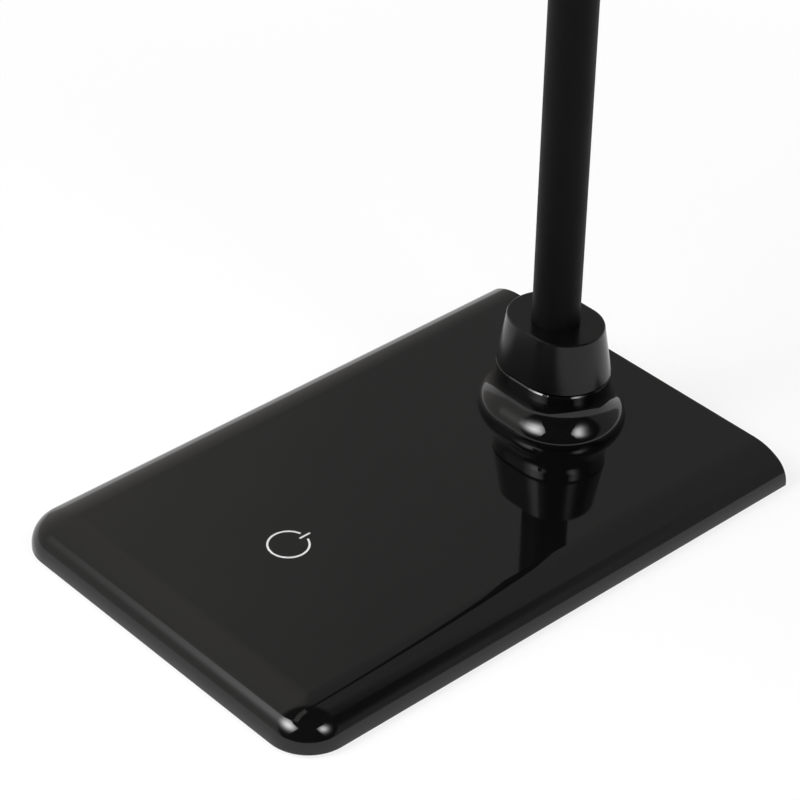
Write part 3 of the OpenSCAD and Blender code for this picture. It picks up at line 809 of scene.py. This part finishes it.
@dataclass
class TouchMark:
    """Printed on-off sign on the base: a ring that is open towards the neck, with a bar in its gap.

    Attributes:
        centre_x: Middle of the ring across the base.
        centre_y: Middle of the ring along the base.
        top_z: Height of the base's top.
        outer_radius: Outer radius of the ring.
        line: Width of the printed lines.
        ink: Thickness of the ink.
        opening_degrees: Half of the ring's opening.
        bar_low: Distance from the middle at which the bar starts.
        bar_high: Distance from the middle at which it ends.
        bar_cuts: Number of cuts across the bar's faces.
        segments: Number of sides of the ring.
        smooth_degrees: Edges below this angle are shaded smooth.
        slot: Material slot of the record that comes nearest to the ink; not used.
        piece: The finished mark.
    """

    centre_x: float = -1.0
    centre_y: float = -49.0
    top_z: float = 13.0
    outer_radius: float = 7.0
    line: float = 0.68
    ink: float = 0.05
    opening_degrees: float = 14.0
    bar_low: float = 4.6
    bar_high: float = 8.9
    bar_cuts: int = 3
    segments: int = 120
    smooth_degrees: float = 30.0
    slot: str = "white_reflector"
    piece: bpy.types.Object | None = None

    def place(self, along: float) -> tuple[float, float, float]:
        """Point on the base, in metres, a distance along from the ring's centre towards the neck."""
        return self.centre_x * MM, (self.centre_y + along) * MM, self.top_z * MM

    def build(self) -> bpy.types.Object:
        """Models the ring and the bar as thin ink.

        Returns:
            The finished piece, riding on the base.
        """
        bpy.ops.object.select_all(action="DESELECT")
        bpy.ops.mesh.primitive_circle_add(
            vertices=self.segments, radius=(self.outer_radius - self.line) * MM, fill_type="NOTHING",
            location=self.place(0),
        )
        self.piece = start_piece("touch_mark")
        grow = self.outer_radius / (self.outer_radius - self.line)
        bpy.ops.mesh.extrude_region_move()
        bpy.ops.transform.resize(value=(grow, grow, 1), center_override=self.place(0))
        self.open_ring()
        self.add_bar()
        bpy.ops.mesh.select_all(action="SELECT")
        bpy.ops.mesh.normals_make_consistent(inside=False)
        bpy.ops.object.mode_set(mode="OBJECT")
        for face in self.piece.data.polygons:
            if face.normal.z < 0:
                face.flip()
        apply_modifier(self.piece, "SOLIDIFY", {"thickness": self.ink * MM, "offset": 1.0})
        end_piece(self.piece, self.smooth_degrees)
        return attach(self.piece, "base")

    def open_ring(self) -> None:
        """Deletes the faces of the ring that lie in its opening."""
        half = math.radians(self.opening_degrees)
        bpy.ops.mesh.select_mode(type="FACE")
        bpy.ops.mesh.select_all(action="DESELECT")
        bpy.ops.object.mode_set(mode="OBJECT")
        for face in self.piece.data.polygons:
            face.select = abs(math.atan2(face.center.x, face.center.y)) < half
        bpy.ops.object.mode_set(mode="EDIT")
        bpy.ops.mesh.delete(type="FACE")
        bpy.ops.mesh.select_mode(type="VERT")

    def add_bar(self) -> None:
        """Adds the bar as a flat strip inside the same mesh."""
        length = self.bar_high - self.bar_low
        middle = self.place((self.bar_low + self.bar_high) / 2)
        bpy.ops.mesh.primitive_plane_add(size=1, location=middle)
        bpy.ops.transform.resize(value=(self.line * MM, length * MM, 1), center_override=middle)
        bpy.ops.mesh.subdivide(number_cuts=self.bar_cuts)

    def dress(self, finishes: FinishSet) -> None:
        """Gives the mark its white ink."""
        finishes.dress(self.piece, PRINT_FINISH)
        LOG.info("%s: %d faces", self.piece.name, len(self.piece.data.polygons))


# --- studio -----------------------------------------------------------------------


def heading(azimuth: float, elevation: float) -> Vector:
    """Unit vector by compass: azimuth in degrees from +Y towards +X, elevation above the table."""
    a, e = math.radians(azimuth), math.radians(elevation)
    return Vector((math.sin(a) * math.cos(e), math.cos(a) * math.cos(e), math.sin(e)))


@dataclass
class SoftBox:
    """Tall soft box that faces the lamp's base: sharp at its top and inner side, faded at the others.

    Attributes:
        name: Name of the light.
        azimuth: Compass direction of its middle, from +Y towards +X.
        elevation: Height of its middle above the table, in degrees.
        radiance: Brightness where it is brightest.
        half_width: Half of the angle that it takes up across.
        half_height: Half of the angle that it takes up in height.
        hot_across: Place of the brightest part across the box, from 0 to 1.
        hot_up: Place of the brightest part up the box, from 0 to 1.
        spread_across: Width of the fade across the box.
        spread_up: Width of the fade down the box.
        distance: Distance from the base, in metres.
        aim: Point over the base that the box faces.
    """

    name: str
    azimuth: float
    elevation: float
    radiance: float
    half_width: float
    half_height: float
    hot_across: float
    hot_up: float
    spread_across: float
    spread_up: float
    distance: float = 1.6
    aim: tuple[float, float, float] = (0.0, 20.0, 30.0)

    def build(self) -> bpy.types.Object:
        """Adds the soft box as an area lamp.

        Returns:
            The lamp's object.
        """
        lamp = bpy.data.lights.new(self.name, "AREA")
        lamp.shape = "RECTANGLE"
        lamp.size = 2 * self.distance * math.tan(math.radians(self.half_width))
        lamp.size_y = 2 * self.distance * math.tan(math.radians(self.half_height))
        # A lamp's radiance is a quarter of its power over its area
        lamp.energy = 4 * lamp.size * lamp.size_y * self.radiance
        self.fade(lamp)
        box = bpy.data.objects.new(self.name, lamp)
        bpy.context.scene.collection.objects.link(box)
        away = heading(self.azimuth, self.elevation)
        box.location = away * self.distance + Vector(self.aim) * MM
        box.rotation_euler = (-away).to_track_quat("-Z", "Y").to_euler()
        box.visible_camera = False
        LOG.info("%s: %.2f W over %.2f by %.2f m", self.name, lamp.energy, lamp.size, lamp.size_y)
        return box

    def fade(self, lamp: bpy.types.Light) -> None:
        """Gives the lamp a hot part that falls off across and down the box.

        Args:
            lamp: The area lamp.
        """
        lamp.use_nodes = True
        tree = lamp.node_tree
        tree.nodes.clear()
        place = add_node(tree, "ShaderNodeNewGeometry").outputs["Parametric"]
        moved = add_node(
            tree, "ShaderNodeMapping", {"vector_type": "TEXTURE"},
            {
                "Vector": place, "Location": (self.hot_across, self.hot_up, 0),
                "Scale": (self.spread_across, self.spread_up, 1),
            },
        )
        squared = add_node(
            tree, "ShaderNodeVectorMath", {"operation": "DOT_PRODUCT"},
            {0: moved.outputs["Vector"], 1: moved.outputs["Vector"]},
        )
        # A bell curve: e to the power of minus half the distance squared
        less = add_node(
            tree, "ShaderNodeMath", {"operation": "MULTIPLY"}, {0: squared.outputs["Value"], 1: -0.5}
        )
        bell = add_node(tree, "ShaderNodeMath", {"operation": "EXPONENT"}, {0: less.outputs[0]})
        glow = add_node(tree, "ShaderNodeEmission", inputs={"Strength": bell.outputs[0]})
        add_node(tree, "ShaderNodeOutputLight", inputs={"Surface": glow.outputs[0]})


@dataclass(frozen=True)
class SkyLevel:
    """Brightness of the sky in one direction.

    Attributes:
        place: Where the direction lies, from 0 opposite the light side to 1 at the light side.
        level: Brightness.
        warmth: Share of the blue that is missing.
    """

    place: float
    level: float
    warmth: float = 0.0

    def colour(self) -> tuple[float, float, float, float]:
        """Linear colour, from which warmth takes blue and half as much green."""
        return self.level, self.level * (1 - self.warmth / 2), self.level * (1 - self.warmth), 1.0


@dataclass
class Studio:
    """Pale floor, a sky that is light on the left and dark behind the camera, and two soft boxes.

    Attributes:
        floor_half: Half of the floor's width, in metres.
        floor_cells: Number of faces along the floor.
        paper: sRGB hex colour of the floor.
        near_share: How white the floor shows under the lamp, where its shadow lies.
        near_reach: Distance from the lamp to which that share holds, in metres.
        far_reach: Distance past which the floor shows white all over, in metres.
        boxes: The soft boxes.
        light_side: Azimuth and elevation of the sky's light side, in degrees.
        levels: Brightness of the sky from the opposite of its light side to that side.
        dark_side: Azimuth and elevation of the dark patch's middle, in degrees.
        dark_level: Brightness of the dark patch.
        dark_within: Angle from its middle within which the patch is dark all over.
        light_beyond: Angle from its middle beyond which the patch has ended.
        white_below: Elevation below which the sky is white all over, in degrees.
        sky_above: Elevation above which no white is left, in degrees.
    """

    floor_half: float = 20.0
    floor_cells: int = 8
    paper: str = "#f4f4f4"
    near_share: float = 0.8
    near_reach: float = 0.16
    far_reach: float = 0.5
    boxes: tuple[SoftBox, ...] = (
        SoftBox(
            "front_box", azimuth=203.0, elevation=31.0, radiance=16.0,
            half_width=28.0, half_height=26.0, hot_across=0.64, hot_up=0.76,
            spread_across=0.2, spread_up=0.16,
        ),
        SoftBox(
            "side_box", azimuth=74.0, elevation=31.0, radiance=11.0,
            half_width=25.0, half_height=26.0, hot_across=0.22, hot_up=0.76,
            spread_across=0.12, spread_up=0.16,
        ),
    )
    light_side: tuple[float, float] = (-120.0, 20.0)
    levels: tuple[SkyLevel, ...] = (
        SkyLevel(place=0.0, level=0.34),
        SkyLevel(place=0.37, level=0.40),
        SkyLevel(place=0.67, level=0.32, warmth=0.02),
        SkyLevel(place=0.72, level=0.37, warmth=0.04),
        SkyLevel(place=0.79, level=0.60, warmth=0.07),
        SkyLevel(place=0.9, level=0.68, warmth=0.06),
        SkyLevel(place=1.0, level=0.62, warmth=0.06),
    )
    dark_side: tuple[float, float] = (135.0, 45.0)
    dark_level: SkyLevel = SkyLevel(place=0.0, level=0.045)
    dark_within: float = 60.0
    light_beyond: float = 69.0
    white_below: float = 1.0
    sky_above: float = 4.5

    def build(self) -> None:
        """Makes the floor, the sky and the soft boxes."""
        self.build_floor()
        self.build_sky()
        for box in self.boxes:
            box.build()

    def build_floor(self) -> bpy.types.Object:
        """Adds the floor, which keeps the lamp's shadow.

        Returns:
            The floor.
        """
        bpy.ops.object.select_all(action="DESELECT")
        bpy.ops.mesh.primitive_grid_add(
            x_subdivisions=self.floor_cells, y_subdivisions=self.floor_cells, size=2 * self.floor_half
        )
        floor = bpy.context.active_object
        floor.name = "studio_floor"
        floor.data.materials.append(self.floor_material())
        return floor

    def floor_material(self) -> bpy.types.Material:
        """Makes paper that shows white to the camera and to reflections.

        Returns:
            The floor's material.
        """
        material = bpy.data.materials.new("floor_paper_white")
        material.use_nodes = True
        tree = material.node_tree
        tree.nodes.clear()
        paper = add_node(tree, "ShaderNodeBsdfDiffuse", inputs={"Color": linear(self.paper)})
        glow = add_node(tree, "ShaderNodeEmission", inputs={"Color": WHITE, "Strength": 1.0})
        path = add_node(tree, "ShaderNodeLightPath").outputs
        seen = add_node(
            tree, "ShaderNodeMath", {"operation": "MAXIMUM"},
            {0: path["Is Camera Ray"], 1: path["Is Glossy Ray"]},
        )
        seen = add_node(
            tree, "ShaderNodeMath", {"operation": "MAXIMUM"},
            {0: seen.outputs[0], 1: path["Is Transmission Ray"]},
        )
        place = add_node(tree, "ShaderNodeTexCoord").outputs["Object"]
        reach = add_node(tree, "ShaderNodeVectorMath", {"operation": "LENGTH"}, {0: place})
        # The shadow lies near the lamp, and past it the paper is white all over
        white = add_node(
            tree, "ShaderNodeMapRange", {"interpolation_type": "SMOOTHSTEP"},
            {
                "Value": reach.outputs["Value"], "From Min": self.near_reach,
                "From Max": self.far_reach, "To Min": self.near_share, "To Max": 1.0,
            },
        )
        share = add_node(
            tree, "ShaderNodeMath", {"operation": "MULTIPLY"}, {0: seen.outputs[0], 1: white.outputs[0]}
        )
        mixed = add_node(
            tree, "ShaderNodeMixShader",
            inputs={0: share.outputs[0], 1: paper.outputs[0], 2: glow.outputs[0]},
        )
        add_node(tree, "ShaderNodeOutputMaterial", inputs={"Surface": mixed.outputs[0]})
        return material

    def build_sky(self) -> None:
        """Makes the world: white along the horizon, light on the left and dark behind the camera."""
        world = bpy.data.worlds.new("studio_sky")
        bpy.context.scene.world = world
        world.use_nodes = True
        tree = world.node_tree
        tree.nodes.clear()
        way = add_node(tree, "ShaderNodeTexCoord").outputs["Generated"]
        side = add_node(
            tree, "ShaderNodeVectorMath", {"operation": "DOT_PRODUCT"},
            {0: way, 1: heading(*self.light_side)},
        )
        # From -1 to 1 into 0 to 1, which is the ramp's scale
        half = add_node(
            tree, "ShaderNodeMath", {"operation": "MULTIPLY_ADD"},
            {0: side.outputs["Value"], 1: 0.5, 2: 0.5},
        )
        shaded = add_node(
            tree, "ShaderNodeValToRGB", inputs={"Fac": half.outputs[0]},
            stops=[(at.place, at.colour()) for at in self.levels],
        )
        front = add_node(
            tree, "ShaderNodeVectorMath", {"operation": "DOT_PRODUCT"},
            {0: way, 1: heading(*self.dark_side)},
        )
        dark = add_node(
            tree, "ShaderNodeMapRange", {"interpolation_type": "SMOOTHSTEP"},
            {
                "Value": front.outputs["Value"], "From Min": math.cos(math.radians(self.light_beyond)),
                "From Max": math.cos(math.radians(self.dark_within)), "To Min": 0.0, "To Max": 1.0,
            },
        )
        sky = add_node(
            tree, "ShaderNodeMix", {"data_type": "RGBA"},
            {"Factor": dark.outputs[0], "A": shaded.outputs["Color"], "B": self.dark_level.colour()},
        )
        height = add_node(tree, "ShaderNodeSeparateXYZ", inputs={0: way}).outputs["Z"]
        band = add_node(
            tree, "ShaderNodeMapRange", {"interpolation_type": "SMOOTHSTEP"},
            {
                "Value": height, "From Min": math.sin(math.radians(self.white_below)),
                "From Max": math.sin(math.radians(self.sky_above)), "To Min": 1.0, "To Max": 0.0,
            },
        )
        mixed = add_node(
            tree, "ShaderNodeMix", {"data_type": "RGBA"},
            {"Factor": band.outputs[0], "A": sky.outputs["Result"], "B": WHITE},
        )
        backdrop = add_node(
            tree, "ShaderNodeBackground", inputs={"Color": mixed.outputs["Result"], "Strength": 1.0}
        )
        add_node(tree, "ShaderNodeOutputWorld", inputs={"Surface": backdrop.outputs[0]})


@dataclass
class Camera:
    """Camera in front of the lamp on its right, looking down on the base through a long lens.

    Attributes:
        place: Where it stands.
        azimuth: Degrees by which it stands to the right of straight in front.
        elevation: Degrees by which it looks down.
        roll: Degrees by which it is turned about its own line of sight.
        lens: Focal length.
        sensor: Width of the sensor.
        clip: Nearest and farthest distance that it sees, in metres.
    """

    place: tuple[float, float, float] = (559.016, -520.545, 591.731)
    azimuth: float = 47.229
    elevation: float = 35.523
    roll: float = 1.167
    lens: float = 133.309
    sensor: float = 36.0
    clip: tuple[float, float] = (0.01, 100.0)

    def build(self) -> bpy.types.Object:
        """Adds the camera and makes it the scene's.

        Returns:
            The camera's object.
        """
        data = bpy.data.cameras.new("camera")
        data.sensor_width = self.sensor
        data.lens = self.lens
        data.clip_start, data.clip_end = self.clip
        camera = bpy.data.objects.new("camera", data)
        bpy.context.scene.collection.objects.link(camera)
        a, e, r = (math.radians(v) for v in (self.azimuth, self.elevation, self.roll))
        back = Vector((math.sin(a) * math.cos(e), -math.cos(a) * math.cos(e), math.sin(e)))
        right = Vector((math.cos(a), math.sin(a), 0))
        up = back.cross(right)
        across = right * math.cos(r) + up * math.sin(r)
        upward = up * math.cos(r) - right * math.sin(r)
        turn = Matrix((across, upward, back)).transposed().to_4x4()
        camera.matrix_world = Matrix.Translation(Vector(self.place) * MM) @ turn
        bpy.context.scene.camera = camera
        return camera


def main() -> None:
    """Builds the camera, the studio, the finishes and the pieces in order."""
    logging.basicConfig(level=logging.INFO, format="%(name)s: %(message)s")
    bpy.context.scene.view_settings.view_transform = "Standard"
    Camera().build()
    Studio().build()
    finishes = FinishSet()
    finishes.dress_nodes()
    line = NeckLine()
    sleeve = NeckTubes(
        line, node="neck_sleeve", slot="sleeve", radius=8.0, wall=1.5, start=34.5, past_bend=28.3,
    )
    cable = NeckTubes(
        line, node="neck_cable", slot="cable_jacket", radius=1.8, wall=0.8,
        start=16.8, past_bend=41.6, sides=24, ring_step=3.0,
    )
    for tubes in (sleeve, cable):
        tubes.build()
        tubes.dress(finishes)
    mark = TouchMark()
    mark.build()
    mark.dress(finishes)


if __name__ == "__main__":
    main()
